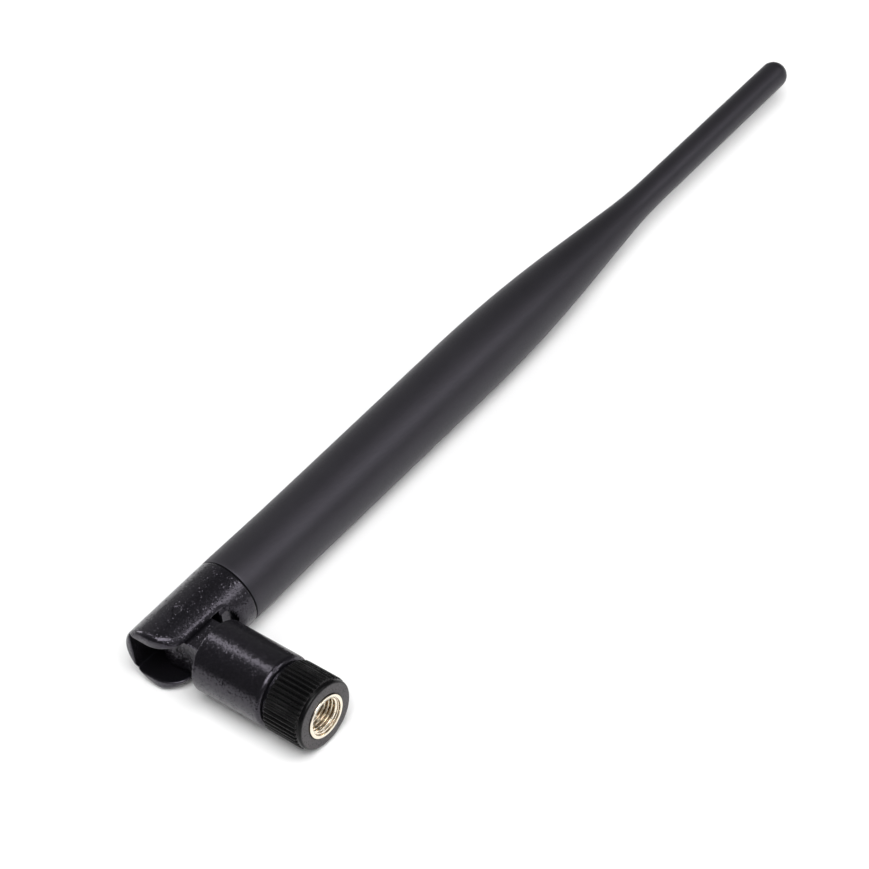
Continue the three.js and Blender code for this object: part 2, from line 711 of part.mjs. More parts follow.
const whip = new THREE.Group();
whip.add(
  piece("knuckle", knuckle(), "grainedPlastic"),
  piece("radome", radome(), "mattePlastic"),
  piece("balun_sleeve", balunSleeve(), "brass"),
  piece("balun_solder", balunSolder(), "solder"),
  piece("lower_radiator", lowerRadiator(), "brass"),
  piece("radiator_wire", radiatorWire(), "copper"),
  piece("coil_former", coilFormer(), "fluoroplastic"),
  piece("feed_shrink_tube", feedShrinkTube(), "shrinkTube"),
  piece("foam_spacer_lower", foamSpacer(LOWER_FOAM, BALUN_RADIUS), "foam"),
  piece("foam_spacer_upper", foamSpacer(UPPER_FOAM, TUBE_RADIUS), "foam"),
  piece(
    "coax_whip_run",
    turnedAboutY(rod(ELBOW_REACH + FIT_GAP, CORE_AT_FEED[0] - FIT_GAP, JACKET_RADIUS), CABLE_SIDES),
    "jacket",
  ),
  piece(
    "coax_whip_core",
    turnedAboutY(rod(...CORE_AT_FEED, CORE_RADIUS), CABLE_SIDES),
    "fluoroplastic",
  ),
);

const antenna = new THREE.Group();
antenna.add(connector, couplingNut, whip, piece("coax_elbow", cableElbow(), "jacket"));

// The origin is on the surface that the antenna lies on, under the middle of its box.
antenna.position.set(
  -(INSERT_FACE - KNUCKLE_RADIUS) / 2,
  -(TIP_CENTRE + RADOME_TIP_RADIUS + FORK_END) / 2,
  HOUSING_RADIUS,
);

export default antenna;
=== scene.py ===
"""A folding 2.4 GHz whip antenna with a screw-on coaxial plug, lying on a pale table.

Shapes are worked out in millimetres in the design frame: the elbow hinge is the Z axis, the connector points
along +X and the whip along +Y. MM and HINGE take a point from there to the row frame, in metres.
"""
import json
import math
import bmesh
import bpy
import numpy as np
import openvdb
from mathutils import Matrix, Vector


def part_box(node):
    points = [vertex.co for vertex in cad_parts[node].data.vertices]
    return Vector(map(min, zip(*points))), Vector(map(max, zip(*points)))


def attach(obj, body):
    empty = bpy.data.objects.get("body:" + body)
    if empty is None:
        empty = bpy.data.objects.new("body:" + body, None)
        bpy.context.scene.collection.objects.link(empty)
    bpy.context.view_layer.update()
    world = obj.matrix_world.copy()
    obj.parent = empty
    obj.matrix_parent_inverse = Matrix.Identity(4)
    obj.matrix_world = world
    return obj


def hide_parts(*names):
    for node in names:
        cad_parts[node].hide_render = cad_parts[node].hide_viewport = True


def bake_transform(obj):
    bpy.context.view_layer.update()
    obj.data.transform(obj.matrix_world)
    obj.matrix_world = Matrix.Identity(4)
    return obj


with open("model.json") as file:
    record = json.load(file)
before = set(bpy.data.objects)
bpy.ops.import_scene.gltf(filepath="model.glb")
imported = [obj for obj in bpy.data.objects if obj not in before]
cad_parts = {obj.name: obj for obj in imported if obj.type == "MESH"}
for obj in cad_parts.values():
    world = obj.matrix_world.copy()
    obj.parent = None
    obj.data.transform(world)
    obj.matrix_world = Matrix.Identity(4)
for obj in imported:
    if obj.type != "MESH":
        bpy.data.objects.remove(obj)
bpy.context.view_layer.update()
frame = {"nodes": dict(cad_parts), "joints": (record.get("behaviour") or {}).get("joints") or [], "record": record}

MM = 0.001
ELBOW = next(joint for joint in frame["joints"] if joint["name"] == "elbow")
HINGE = Vector(ELBOW["pos_m"])


def span(node, axis):
    """Lowest and highest value of a CAD node along "x", "y" or "z", in millimetres from the hinge."""
    i = "xyz".index(axis)
    low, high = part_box(node)
    return (low[i] - HINGE[i]) / MM, (high[i] - HINGE[i]) / MM


def radius_of(node, across="z"):
    """Outer radius of a round CAD node."""
    low, high = span(node, across)
    return (high - low) / 2


# ---- sizes ------------------------------------------------------------------------------------------

PLAY = 0.2
OUTSIDE = 40.0  # reaches past every piece, for cuts that run out through a side
OVERLAP = 1.0  # how far joined shapes run into each other

# Connector housing.
HOUSING_RADIUS = radius_of("base_housing")
HOUSING_START = 7.55
HOUSING_END = 21.8
HOUSING_BACK_EDGE = 0.3
HOUSING_FRONT_EDGE = 0.9
HOUSING_NECK_RADIUS = 5.3
HOUSING_NECK_END = span("base_housing", "x")[1]
TONGUE_HALF_WIDTH = 3.25
TONGUE_HALF_HEIGHT = 3.85
HUB_RADIUS = -span("base_housing", "x")[0]
TRUNNION_RADIUS = 1.4
TRUNNION_REACH = 4.9
CABLE_BORE = 1.4
SLOT_HALF_HEIGHT = 1.25
SLOT_END = 2.3
CABLE_SLOT_CORNER = 0.2
CABLE_SLOT_EDGE = 0.12
PLUG_SEAT_START = 15.6
PLUG_SEAT_RADIUS = radius_of("plug_body") + 0.1
PLUG_SEAT_EDGE = 0.1
HOUSING_NECK_EDGE = 0.1
HUB_FILLET = 0.4
TONGUE_EDGE = 0.25
TONGUE_ROOT_FILLET = 0.35
TRUNNION_EDGE = 0.15
TRUNNION_END_GAP = 0.15

# Knuckle.
KNUCKLE_RADIUS = radius_of("knuckle")
FORK_END = span("knuckle", "y")[0]
FORK_EDGE = 1.0
FORK_CORNER_RADIUS = 5.4
FORK_SIDE = 4.75
FORK_HALF_GAP = 4.05
FORK_BACK = -4.5
FORK_ROOT = 5.8
POCKET_RADIUS = 5.85
POCKET_END = 8.2
POCKET_EDGE = 0.05
STOP_RIB = (4.35, 4.85)
STOP_RIB_HEIGHT = 1.25
STOP_RIB_EDGE = 0.1
STOP_RIB_INSET = 0.3
FORK_GAP_CORNER = 0.35
FORK_GAP_EDGE = 0.22
FLARE_FILLET = 0.6
SEAM = 11.0
SEAM_EDGE = 0.12
SPIGOT_RADIUS = 4.9
SPIGOT_EDGE = 0.3
SPIGOT_END = span("knuckle", "y")[1]
GATE_RADIUS = 0.75  # the round mark where the moulding was fed
GATE_DEPTH = 0.13
GATE_EDGE = 0.06

# Radome.
RADOME_MOUTH = span("radome", "y")[0]
RADOME_MOUTH_RADIUS = radius_of("radome")
RADOME_WAIST_RADIUS = 6.1
RADOME_BODY_RADIUS = 6.17
RADOME_ROD_RADIUS = 2.64
RADOME_TIP_RADIUS = 2.56
WAIST_AT = 28
NECK_START = 73
NECK_END = 130
NECK_SOFT_START = 30
NECK_SOFT_END = 11
TIP_CENTRE = span("radome", "y")[1] - RADOME_TIP_RADIUS
RADOME_WALL = 1.4
RADOME_EDGE = 0.12
SPIGOT_FIT = 0.1
SPIGOT_END_GAP = 0.6
ROD_BORE = 1.25
ROD_BORE_END = 162

# Coupling nut.
GRIP_START, GRIP_FACE = span("nut_grip", "x")
KNURL_END = 29.15
GRIP_RADIUS = radius_of("nut_grip")
GRIP_RING_RADIUS = 6.0
GRIP_MID_RADIUS = 5.0  # a ring of points on the flat end faces
GRIP_FIT = 0.1
GRIP_BORE_CHAMFER = 0.06
GRIP_EDGE = 0.45
KNURL_BEVEL = 0.16
KNURL_BEVEL_ROUND = ((0.03, 0.05), (0.04, 0.02))  # (along, out) of the bevel's softened corners
COLLAR_STEP = ((0.12, 0.06), (0.2, 0.0))  # (past the knurl, below the collar) of the step between them
RIB_COUNT = 44
RIB_DEPTH = 0.3
RIB_SHOULDER = 0.24
CREST_RISE = 0.1
INSERT_START, INSERT_FACE = span("nut_insert", "x")
INSERT_RADIUS = radius_of("nut_insert")
THREAD_MAJOR = 3.175
THREAD_MINOR = 2.85
THREAD_PITCH = 25.4 / 36
THREAD_FLAT = 0.125
THREAD_FLANKS = 0.75
THREAD_START = 24.9
THREAD_UNDERCUT = 3.0
THREAD_UNDERCUT_RISE = 0.15
INSERT_EDGE = 0.08
MOUTH_RADIUS = 3.3
MOUTH_RELIEF = 0.28  # length of the plain mouth before the bore narrows to the thread
MOUTH_SLOPE = 2
LIP_RADIUS = 2.55
LIP_END = 23.5
LIP_EDGE = 0.05

# Plug body, what it holds, and the cable behind it.
PLUG_SIDES = 128
BARREL_START = 15.7
BARREL_END = 22.75
BARREL_RADIUS = radius_of("plug_body")
BARREL_FLOOR = 0.8
TAIL_START, SLEEVE_END = span("plug_body", "x")
TAIL_RADIUS = 0.8
TAIL_BORE = 0.5
PLUG_NECK_RADIUS = 2.4
RING_GROOVE = (23.65, 24.2)
RING_GROOVE_RADIUS = 2.3
SLEEVE_START = 24.7
SLEEVE_RADIUS = 2.29
SLEEVE_BORE = 2.09
CONTACT_BORE_CLEARANCE = 0.74
GASKET_BORE = 2.34
ELBOW_REACH = span("coax_elbow", "x")[1]
ELBOW_BEND = 3.5
ELBOW_STRAIGHT = 0.15  # share of the elbow's length that is straight at each end


# ---- meshes -----------------------------------------------------------------------------------------

def to_row(points):
    """Design-frame millimetres to row-frame metres."""
    return np.asarray(points, float) * MM + np.array(HINGE)


def add_mesh(name, points, faces, sharp_angle=35):
    """A smooth-shaded object from points in design-frame millimetres."""
    mesh = bpy.data.meshes.new(name)
    mesh.from_pydata([tuple(p) for p in to_row(points)], [], [tuple(f) for f in faces])
    mesh.validate()
    mesh.shade_smooth()
    mesh.set_sharp_from_angle(angle=math.radians(sharp_angle))
    obj = bpy.data.objects.new(name, mesh)
    bpy.context.scene.collection.objects.link(obj)
    return obj


def grid_faces(rows, columns, close_rows):
    """Quads over a grid of rows x columns points whose columns wrap round."""
    faces = []
    for i in range(rows if close_rows else rows - 1):
        below, above = i * columns, (i + 1) % rows * columns
        for j in range(columns):
            k = (j + 1) % columns
            faces.append((below + j, below + k, above + k, above + j))
    return faces


def ring(along, out, turn):
    """Points round the connector's axis at the angles of turn; out is one radius or one for each angle."""
    return np.stack([np.full(len(turn), along), out * np.cos(turn), out * np.sin(turn)], -1)


def welded_rings(name, rings, sharp_angle):
    """A closed piece through rings of points, the last joined to the first."""
    faces = grid_faces(len(rings), len(rings[0]), True)
    obj = add_mesh(name, np.concatenate(rings), faces, sharp_angle)
    weld(obj)
    return obj


def softened(corners, steps=6):
    """An outline through (along, out, edge radius) corners, each rounded by its edge radius."""
    path = []
    for i, (along, out, edge) in enumerate(corners):
        here = Vector((along, out))
        if edge == 0:
            path.append(here)
            continue
        back = (Vector(corners[i - 1][:2]) - here).normalized()
        on = (Vector(corners[(i + 1) % len(corners)][:2]) - here).normalized()
        half = back.angle(on) / 2
        centre = here + (back + on).normalized() * edge / math.sin(half)
        start = here + back * edge / math.tan(half) - centre
        end = here + on * edge / math.tan(half) - centre
        sweep = start.angle_signed(end)
        for step in range(steps + 1):
            turn = Matrix.Rotation(-sweep * step / steps, 2)
            path.append(centre + turn @ start)
    return [(p[0], p[1]) for p in path]


def turned(name, outline, axis, sides=192):
    """A closed outline of (along, out) points turned about the connector's axis "x" or the whip's "y"."""
    along = np.array([p[0] for p in outline])[:, None]
    out = np.array([max(p[1], 0.0) for p in outline])[:, None]
    turn = np.linspace(0, 2 * math.pi, sides, endpoint=False)[None, :]
    along = np.broadcast_to(along, (len(outline), sides))
    if axis == "x":
        points = np.stack([along, out * np.cos(turn), out * np.sin(turn)], -1)
    else:
        points = np.stack([out * np.sin(turn), along, out * np.cos(turn)], -1)
    obj = add_mesh(name, points.reshape(-1, 3), grid_faces(len(outline), sides, True))
    weld(obj)
    return obj


def weld(obj):
    """Joins the points that fall together on the axis, and turns all faces outwards."""
    made = bmesh.new()
    made.from_mesh(obj.data)
    bmesh.ops.remove_doubles(made, verts=made.verts, dist=1e-6)
    bmesh.ops.recalc_face_normals(made, faces=made.faces)
    if made.calc_volume(signed=True) < 0:
        bmesh.ops.reverse_faces(made, faces=made.faces)
    made.to_mesh(obj.data)
    made.free()


# ---- solid fields: distance to a surface, negative inside ------------------------------------------

def both(a, b, edge=0.0):
    """What is inside a and b, with the edge between them rounded."""
    if edge == 0:
        return np.maximum(a, b)
    return np.minimum(-edge, np.maximum(a, b)) + np.hypot(np.maximum(edge + a, 0), np.maximum(edge + b, 0))


def either(a, b, fillet=0.0):
    """What is inside a or b, with a fillet between them."""
    return -both(-a, -b, fillet)


def cut(a, b, edge=0.0):
    """a without b, with the edges of the cut rounded."""
    return both(a, -b, edge)


def between(value, low, high):
    """The slab where a coordinate lies between two values."""
    return np.maximum(low - value, value - high)


def rod(along, across, up, radius, start, end, edge=0.0):
    """A round rod from start to end of its axis."""
    return both(np.hypot(across, up) - radius, between(along, start, end), edge)


def block(point, low, high, edge=0.0):
    """A box whose own edges are rounded."""
    half = [(h - l) / 2 - edge for l, h in zip(low, high)]
    centre = [(h + l) / 2 for l, h in zip(low, high)]
    q = [np.abs(p - c) - h for p, c, h in zip(point, centre, half)]
    outside = np.sqrt(sum(np.maximum(d, 0) ** 2 for d in q))
    return outside + np.minimum(np.maximum(np.maximum(q[0], q[1]), q[2]), 0) - edge


SETTLING_ROUNDS = 3
LEAST_SLOPE = 0.3  # keeps a point from leaping where the field is nearly flat


def moulded(name, field, low, high, cell):
    """The surface of a field inside a box, as an evenly meshed piece."""
    low, high = np.array(low, float), np.array(high, float)
    axes = [np.arange(l, h, cell) for l, h in zip(low, high)]
    values = field(*np.meshgrid(*axes, indexing="ij"))
    band = 4 * cell
    grid = openvdb.FloatGrid()
    grid.copyFromArray(np.clip(values, -band, band).astype(np.float32))
    points, quads = grid.convertToQuads(isovalue=0.0)
    points = points.astype(float) * cell + low
    for _ in range(SETTLING_ROUNDS):
        points = settled(points, field, cell)
    obj = add_mesh(name, points, quads.astype(int), sharp_angle=50)
    weld(obj)
    return obj


def settled(points, field, cell):
    """Points moved along the field's slope on to its surface."""
    probe = cell / 8
    slope = np.empty_like(points)
    for i in range(3):
        step = np.zeros(3)
        step[i] = probe
        slope[:, i] = (field(*(points + step).T) - field(*(points - step).T)) / (2 * probe)
    steep = np.maximum((slope**2).sum(1), LEAST_SLOPE)
    move = field(*points.T) / steep
    move = np.clip(move, -cell / 2, cell / 2)
    return points - slope * move[:, None]


# ---- moulded pieces ---------------------------------------------------------------------------------

def housing_field(x, y, z):
    """The barrel with its tongue, round hub, two trunnions, cable bore and plug seat."""
    body = both(np.hypot(y, z) - HOUSING_RADIUS, HOUSING_START - x, HOUSING_BACK_EDGE)
    body = both(body, x - HOUSING_END, HOUSING_FRONT_EDGE)
    neck = rod(x, y, z, HOUSING_NECK_RADIUS, HOUSING_END - OVERLAP, HOUSING_NECK_END, HOUSING_NECK_EDGE)
    tongue = block(
        (x, y, z),
        (0, -TONGUE_HALF_WIDTH, -TONGUE_HALF_HEIGHT),
        (HOUSING_START + 2 * OVERLAP, TONGUE_HALF_WIDTH, TONGUE_HALF_HEIGHT),
    )
    hub = both(np.hypot(x, y) - HUB_RADIUS, np.abs(z) - TONGUE_HALF_HEIGHT)
    tongue = both(either(tongue, hub, HUB_FILLET), np.abs(z) - TONGUE_HALF_HEIGHT, TONGUE_EDGE)
    trunnions = rod(z, x, y, TRUNNION_RADIUS, -TRUNNION_REACH, TRUNNION_REACH, TRUNNION_EDGE)
    made = either(either(body, tongue, TONGUE_ROOT_FILLET), neck)
    made = either(made, trunnions)
    made = cut(made, rod(x, y, z, CABLE_BORE, -OUTSIDE, PLUG_SEAT_START + OVERLAP))
    made = cut(made, rod(x, y, z, PLUG_SEAT_RADIUS, PLUG_SEAT_START, OUTSIDE), PLUG_SEAT_EDGE)
    slot = block(
        (x, y, z),
        (-OUTSIDE, -SLOT_HALF_HEIGHT, -SLOT_HALF_HEIGHT),
        (SLOT_END, OUTSIDE, SLOT_HALF_HEIGHT),
        CABLE_SLOT_CORNER,
    )
    return cut(made, slot, CABLE_SLOT_EDGE)


def fork_plan(x, y):
    """Distance to the cheeks' outline seen along the hinge: a round free corner and a flare at the root."""
    beside = x - (FORK_SIDE - FORK_CORNER_RADIUS)
    before = FORK_END + FORK_CORNER_RADIUS - y
    cheek = np.hypot(np.maximum(beside, 0), np.maximum(before, 0))
    cheek += np.minimum(np.maximum(beside, before), 0) - FORK_CORNER_RADIUS
    flare = ((x - FORK_SIDE) - (y - FORK_ROOT)) / math.sqrt(2)
    return either(cheek, flare, FLARE_FILLET)


def knuckle_field(x, y, z):
    """The forked barrel with its stop rib, the pocket behind it, the spigot and the trunnion bores."""
    body = both(np.hypot(x, z) - KNUCKLE_RADIUS, fork_plan(x, y), FORK_EDGE)
    body = both(body, y - SEAM, SEAM_EDGE)
    gap = block(
        (x, y, z),
        (FORK_BACK, -OUTSIDE, -FORK_HALF_GAP),
        (OUTSIDE, FORK_ROOT, FORK_HALF_GAP),
        FORK_GAP_CORNER,
    )
    made = cut(body, gap, FORK_GAP_EDGE)
    pocket = both(np.hypot(x, z) - POCKET_RADIUS, between(x, FORK_SIDE, OUTSIDE))
    made = cut(made, both(pocket, between(y, FORK_ROOT - 2 * OVERLAP, POCKET_END)), POCKET_EDGE)
    rib = block(
        (x, y, z),
        (STOP_RIB[0], FORK_ROOT - STOP_RIB_HEIGHT, -FORK_HALF_GAP - OVERLAP),
        (STOP_RIB[1], FORK_ROOT + OVERLAP, FORK_HALF_GAP + OVERLAP),
        STOP_RIB_EDGE,
    )
    rib = both(rib, np.hypot(x, z) - KNUCKLE_RADIUS + STOP_RIB_INSET)
    made = either(made, rib, STOP_RIB_EDGE)
    made = either(made, rod(y, x, z, SPIGOT_RADIUS, SEAM - OVERLAP, SPIGOT_END, SPIGOT_EDGE))
    bore_reach = TRUNNION_REACH + TRUNNION_END_GAP
    made = cut(made, rod(z, x, y, TRUNNION_RADIUS + PLAY, -bore_reach, bore_reach))
    made = cut(made, rod(y, x, z, SLOT_HALF_HEIGHT, FORK_ROOT - 2 * OVERLAP, OUTSIDE))
    gate = rod(z, x, y, GATE_RADIUS, KNUCKLE_RADIUS - GATE_DEPTH, OUTSIDE)
    return cut(made, gate, GATE_EDGE)


def neck_share(station):
    """How far down the neck has drawn in: a long soft start, a straight cone and a short soft end."""
    slope = 1 / (NECK_END - NECK_START - NECK_SOFT_START / 2 - NECK_SOFT_END / 2)
    on, left = station - NECK_START, NECK_END - station
    if on < NECK_SOFT_START:
        return slope * on * on / (2 * NECK_SOFT_START)
    if left < NECK_SOFT_END:
        return 1 - slope * left * left / (2 * NECK_SOFT_END)
    return slope * (on - NECK_SOFT_START / 2)


def radome_radius(station):
    """Outer radius of the cover: a faint waist, a straight body, the neck and a slightly tapered rod."""
    def blended(start_radius, end_radius, start, end):
        t = min(max((station - start) / (end - start), 0), 1)
        return start_radius + (end_radius - start_radius) * (t * t * (3 - 2 * t))

    if station < WAIST_AT:
        return blended(RADOME_MOUTH_RADIUS, RADOME_WAIST_RADIUS, SEAM, WAIST_AT)
    if station < NECK_START:
        return blended(RADOME_WAIST_RADIUS, RADOME_BODY_RADIUS, WAIST_AT, NECK_START)
    if station < NECK_END:
        return RADOME_BODY_RADIUS + (RADOME_ROD_RADIUS - RADOME_BODY_RADIUS) * neck_share(station)
    share = (station - NECK_END) / (TIP_CENTRE - NECK_END)
    return RADOME_ROD_RADIUS + (RADOME_TIP_RADIUS - RADOME_ROD_RADIUS) * share


def make_radome():
    """The cover as one turned shell: mouth edge, outside, round tip, and the bore back to the mouth."""
    mouth_radius = radome_radius(RADOME_MOUTH) - RADOME_EDGE
    outline = [(RADOME_MOUTH, mouth_radius)]
    for t in (0.4, 0.8, 1.2):
        along = RADOME_MOUTH + RADOME_EDGE * (1 - math.cos(t))
        outline.append((along, mouth_radius + RADOME_EDGE * math.sin(t)))
    side_steps, tip_steps, bore_steps = 260, 14, 8
    first = RADOME_MOUTH + RADOME_EDGE
    for i in range(side_steps + 1):
        station = first + (TIP_CENTRE - first) * i / side_steps
        outline.append((station, radome_radius(station)))
    for i in range(1, tip_steps + 1):
        t = math.pi / 2 * i / tip_steps
        outline.append((TIP_CENTRE + RADOME_TIP_RADIUS * math.sin(t), RADOME_TIP_RADIUS * math.cos(t)))
    outline += [(ROD_BORE_END + ROD_BORE, 0), (ROD_BORE_END, ROD_BORE)]
    for i in range(bore_steps + 1):
        station = NECK_END + (NECK_START - NECK_END) * i / bore_steps
        outline.append((station, max(ROD_BORE, radome_radius(station) - RADOME_WALL)))
    inner_end = SPIGOT_END + SPIGOT_END_GAP
    socket_radius = SPIGOT_RADIUS + SPIGOT_FIT
    outline += [
        (inner_end, radome_radius(inner_end) - RADOME_WALL), (inner_end, socket_radius),
        (RADOME_MOUTH, socket_radius),
    ]
    return turned("radome_shell", outline, "y")


# ---- coupling nut -----------------------------------------------------------------------------------

def rib_drop(turn):
    """How far the knurl lies below its crests at an angle: faintly round crests between V grooves."""
    share = (turn * RIB_COUNT / (2 * math.pi)) % 1.0
    off = 0.5 - abs(share - 0.5)
    if off > RIB_SHOULDER:
        return CREST_RISE * ((0.5 - off) / (0.5 - RIB_SHOULDER)) ** 2
    return CREST_RISE + (RIB_DEPTH - CREST_RISE) * (1 - off / RIB_SHOULDER)


def make_grip():
    """The ribbed cover: a knurl with crisp bevelled ends, a plain front ring and a flat front face."""
    points_per_rib, edge_steps = 16, 8
    turn = np.linspace(0, 2 * math.pi, RIB_COUNT * points_per_rib, endpoint=False)
    drop = np.array([rib_drop(t) for t in turn])
    bore = INSERT_RADIUS + GRIP_FIT
    foot = GRIP_RADIUS - RIB_DEPTH - KNURL_BEVEL
    (low_on, low_up), (high_on, high_down) = KNURL_BEVEL_ROUND
    bevel = [
        (0, KNURL_BEVEL),
        (low_on, KNURL_BEVEL - low_up),
        (KNURL_BEVEL - high_on, high_down),
        (KNURL_BEVEL, 0),
    ]
    # Rows of (along, out, 1 where the ribs shape it).
    rows = [(GRIP_START, bore, 0), (GRIP_START, GRIP_MID_RADIUS, 0), (GRIP_START, foot, 0)]
    rows += [(GRIP_START + on, GRIP_RADIUS - down, 1) for on, down in bevel]
    rows += [(KNURL_END - on, GRIP_RADIUS - down, 1) for on, down in reversed(bevel)]
    rows.append((KNURL_END, foot, 0))
    rows += [(KNURL_END + on, GRIP_RING_RADIUS - down, 0) for on, down in COLLAR_STEP]
    for i in range(edge_steps + 1):
        t = math.pi / 2 * i / edge_steps
        rows.append((
            GRIP_FACE - GRIP_EDGE * (1 - math.sin(t)),
            GRIP_RING_RADIUS - GRIP_EDGE * (1 - math.cos(t)), 0))
    rows += [
        (GRIP_FACE, GRIP_MID_RADIUS, 0), (GRIP_FACE, bore + GRIP_BORE_CHAMFER, 0),
        (GRIP_FACE - GRIP_BORE_CHAMFER, bore, 0),
    ]
    rings = [ring(along, out - drop * ribbed, turn) for along, out, ribbed in rows]
    return welded_rings("nut_cover", rings, sharp_angle=25)


def thread_radius(along, turn):
    """Bore radius of the helical thread with rounded crests and roots, run in at its inner end."""
    share = ((along - turn / (2 * math.pi) * THREAD_PITCH) / THREAD_PITCH) % 1.0
    off = np.abs(share - 0.5) * 2
    depth = np.clip((1 - THREAD_FLAT - off) / THREAD_FLANKS, 0, 1)
    depth = depth * depth * (3 - 2 * depth)
    run_in = np.clip((along - THREAD_START) / THREAD_PITCH, 0, 1)
    return THREAD_MINOR + (THREAD_MAJOR - THREAD_MINOR) * depth * run_in


def make_insert():
    """The metal ring: turned outside, an inner lip that holds the split ring, and the thread's bore."""
    sides, edge_steps, steps_per_turn = 240, 4, 26
    turn = np.linspace(0, 2 * math.pi, sides, endpoint=False)
    plain = softened([
        (INSERT_FACE, MOUTH_RADIUS, 0),
        (INSERT_FACE, INSERT_RADIUS, INSERT_EDGE),
        (INSERT_START, INSERT_RADIUS, INSERT_EDGE),
        (INSERT_START, LIP_RADIUS, LIP_EDGE),
        (LIP_END, LIP_RADIUS, LIP_EDGE),
        (LIP_END, THREAD_UNDERCUT, 0),
        (THREAD_START - THREAD_UNDERCUT_RISE, THREAD_UNDERCUT, 0),
    ], edge_steps)
    rings = [ring(along, out, turn) for along, out in plain]
    steps = int((INSERT_FACE - THREAD_START) / THREAD_PITCH * steps_per_turn)
    for i in range(steps + 1):
        along = THREAD_START + (INSERT_FACE - THREAD_START) * i / steps
        mouth = MOUTH_RADIUS - MOUTH_SLOPE * max(INSERT_FACE - along - MOUTH_RELIEF, 0)
        rings.append(ring(along, np.maximum(thread_radius(along, turn), mouth), turn))
    return welded_rings("threaded_insert", rings, sharp_angle=60)


# ---- plug and cable ---------------------------------------------------------------------------------

def make_plug_body():
    """The plug's outer conductor: crimp tail, barrel, neck with the split ring's groove, and sleeve."""
    floor = BARREL_START + BARREL_FLOOR
    groove_start, groove_end = RING_GROOVE
    return turned("plug_shell", softened([
        (TAIL_START, TAIL_BORE, 0),
        (TAIL_START, TAIL_RADIUS, 0.05),
        (BARREL_START, TAIL_RADIUS, 0),
        (BARREL_START, BARREL_RADIUS, 0.1),
        (BARREL_END, BARREL_RADIUS, 0.1),
        (BARREL_END, PLUG_NECK_RADIUS, 0),
        (groove_start, PLUG_NECK_RADIUS, 0),
        (groove_start, RING_GROOVE_RADIUS, 0),
        (groove_end, RING_GROOVE_RADIUS, 0),
        (groove_end, PLUG_NECK_RADIUS, 0),
        (SLEEVE_START, PLUG_NECK_RADIUS, 0.04),
        (SLEEVE_START, SLEEVE_RADIUS, 0),
        (SLEEVE_END, SLEEVE_RADIUS, 0.06),
        (SLEEVE_END, SLEEVE_BORE, 0.04),
        (floor, SLEEVE_BORE, 0),
        (floor, TAIL_BORE, 0),
    ]), "x", PLUG_SIDES)


def make_dielectric():
    """The white insulator that fills the barrel and carries the contact."""
    start, end = span("plug_dielectric", "x")
    outer = radius_of("plug_dielectric")
    return turned("dielectric_bead", softened([
        (start, CONTACT_BORE_CLEARANCE, 0),
        (start, outer, 0.05),
        (end, outer, 0.08),
        (end, CONTACT_BORE_CLEARANCE, 0.06),
    ]), "x", PLUG_SIDES)


def make_gasket():
    """The soft ring at the foot of the sleeve."""
    start, end = span("sealing_gasket", "x")
    outer = radius_of("sealing_gasket")
    return turned("gasket_ring", softened([
        (start, GASKET_BORE, 0.08),
        (start, outer, 0.12),
        (end, outer, 0.12),
        (end, GASKET_BORE, 0.08),
    ]), "x", PLUG_SIDES)


def make_elbow():
    """The cable's bend at the hinge: straight out of the housing, round, and straight into the knuckle."""
    radius = radius_of("coax_elbow")
    reach, bend, straight = ELBOW_REACH, ELBOW_BEND, ELBOW_STRAIGHT
    rings, sides = 48, 32
    turn = np.linspace(0, 2 * math.pi, sides, endpoint=False)
    points = []
    for i in range(rings + 1):
        along = i / rings
        if along < straight:
            centre, heading = (reach - (reach - bend) * along / straight, 0), (-1, 0)
        elif along > 1 - straight:
            centre, heading = (0, reach - (reach - bend) * (1 - along) / straight), (0, 1)
        else:
            t = (along - straight) / (1 - 2 * straight)
            centre = (bend * (1 - t) ** 2, bend * t * t)
            heading = Vector((-(1 - t), t)).normalized()
        side = (heading[1], -heading[0])
        points.append(np.stack([
            centre[0] + radius * np.cos(turn) * side[0],
            centre[1] + radius * np.cos(turn) * side[1],
            radius * np.sin(turn)], -1))
    faces = grid_faces(rings + 1, sides, False)
    last = rings * sides
    faces += [tuple(range(sides)), tuple(last + j for j in reversed(range(sides)))]
    obj = add_mesh("elbow_cable", np.concatenate(points), faces)
    weld(obj)
    return obj


# ---- materials --------------------------------------------------------------------------------------

materials = {}


